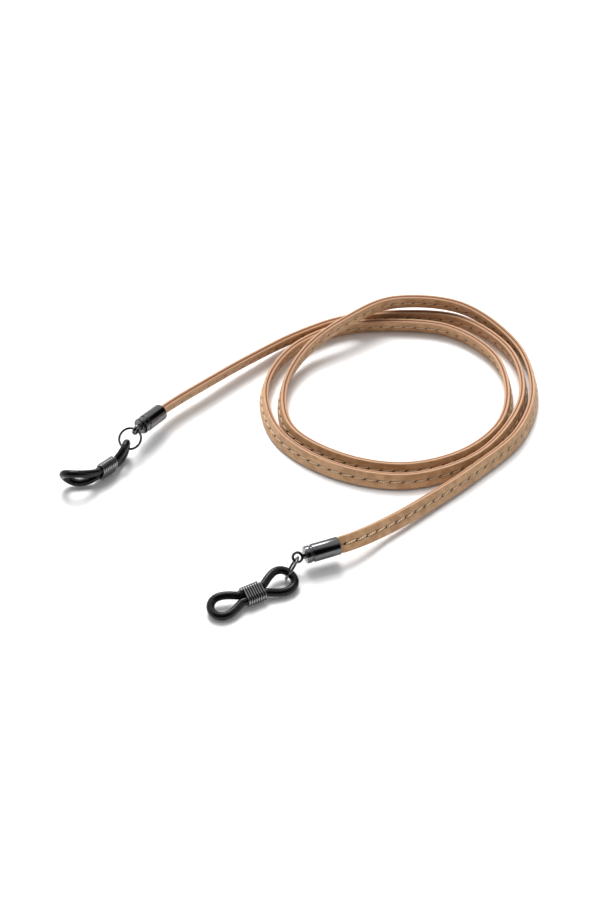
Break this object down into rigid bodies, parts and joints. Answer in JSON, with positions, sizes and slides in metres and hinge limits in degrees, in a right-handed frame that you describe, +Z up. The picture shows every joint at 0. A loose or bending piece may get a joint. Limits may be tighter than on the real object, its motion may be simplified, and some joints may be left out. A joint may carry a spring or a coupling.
{
  "type": "eyeglass retainer strap",
  "caption": "Loosely coiled two-layer leather eyeglass strap with metal ferrules, jump rings, black rubber temple loops and wire coils.",
  "frame": {"origin": "middle of the bounding box, on the surface that the coiled strap lies on", "axes": "+Z up, +X to the right and +Y away from the viewer who has both ends on the near left"},
  "size_m": [0.1372, 0.1308, 0.0108],
  "materials": {
    "leather_outer": "satin, natural tan with burnished edges",
    "leather_inner": "satin, natural tan with burnished edges",
    "thread": "matt waxed thread",
    "ferrule_metal": "polished black nickel",
    "ring_wire": "polished black nickel",
    "coil_wire": "polished black nickel",
    "rubber": "smooth and slightly glossy",
    "glue": "cured clear glue"
  },
  "bodies": {
    "strap": {"strap_outer_leather": "leather_outer", "strap_inner_leather": "leather_inner", "outer_thread": "thread", "inner_thread": "thread", "right_ferrule": "ferrule_metal", "right_glue": "glue", "left_ferrule": "ferrule_metal", "left_glue": "glue"},
    "right_ring": {"right_jump_ring": "ring_wire"},
    "right_loop": {"right_rubber_loop": "rubber"},
    "right_coil": {"right_wire_coil": "coil_wire"},
    "left_ring": {"left_jump_ring": "ring_wire"},
    "left_loop": {"left_rubber_loop": "rubber"},
    "left_coil": {"left_wire_coil": "coil_wire"}
  },
  "joints": [
    {"name": "right_ring_swing", "type": "hinge", "parent": "strap", "child": "right_ring", "pos_m": [-0.00167, -0.04647, 0.00473], "axis": [-0.2116, 0.6073, -0.7658], "range_deg": [0, 100]},
    {"name": "right_loop_swing", "type": "hinge", "parent": "right_ring", "child": "right_loop", "pos_m": [-0.0039, -0.05004, 0.00252], "axis": [-0.8475, 0.4891, 0.2064], "range_deg": [0, 80]},
    {"name": "right_coil_slide", "type": "slide", "parent": "right_loop", "child": "right_coil", "axis": [-0.866, -0.5, 0], "range_m": [-0.0004, 0.0006]},
    {"name": "left_ring_swing", "type": "hinge", "parent": "strap", "child": "left_ring", "pos_m": [-0.04742, 0.00268, 0.00723], "axis": [-0.818, 0.5373, 0.2056], "range_deg": [0, 100]},
    {"name": "left_loop_swing", "type": "hinge", "parent": "left_ring", "child": "left_loop", "pos_m": [-0.05009, -0.0005, 0.00492], "axis": [-0.0949, 0.557, -0.825], "range_deg": [0, 80]},
    {"name": "left_coil_slide", "type": "slide", "parent": "left_loop", "child": "left_coil", "axis": [-0.6554, -0.754, 0.0436], "range_m": [-0.0004, 0.0006]}
  ]
}
